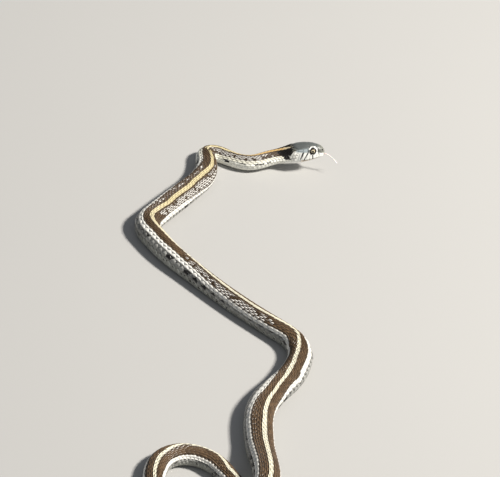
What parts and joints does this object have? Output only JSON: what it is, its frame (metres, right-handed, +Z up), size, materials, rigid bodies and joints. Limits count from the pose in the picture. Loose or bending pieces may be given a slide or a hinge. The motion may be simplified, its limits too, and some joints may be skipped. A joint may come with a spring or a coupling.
{
  "type": "garter snake model",
  "caption": "Life-size still model of a black-necked garter snake lying in open bends, neck raised, tongue out, trunk passing over the tail.",
  "frame": {"origin": "centre of the bounding box in plan, on the floor that the belly lies on", "axes": "+Z up off the floor, +Y towards the head's end of the layout, +X towards the tail tip's side"},
  "size_m": [0.2528, 0.3844, 0.0217],
  "materials": {
    "head_skin": "smooth blue-grey head shields, satin",
    "jaw_skin": "pale lip and chin shields, satin",
    "body_skin": "keeled brown scales with pale stripes, satin",
    "eye": "clear gloss over a round pupil and a golden iris",
    "tongue": "moist, pale"
  },
  "bodies": {
    "root": {"head": "head_skin", "lower_jaw": "jaw_skin", "eye_left": "eye", "eye_right": "eye", "tongue": "tongue", "neck": "body_skin", "trunk_1": "body_skin", "trunk_2": "body_skin", "trunk_3": "body_skin", "trunk_4": "body_skin", "trunk_5": "body_skin", "trunk_6": "body_skin", "trunk_7": "body_skin", "trunk_8": "body_skin", "trunk_9": "body_skin", "trunk_10": "body_skin", "trunk_11": "body_skin", "tail_1": "body_skin", "tail_2": "body_skin", "tail_3": "body_skin"}
  },
  "joints": []
}
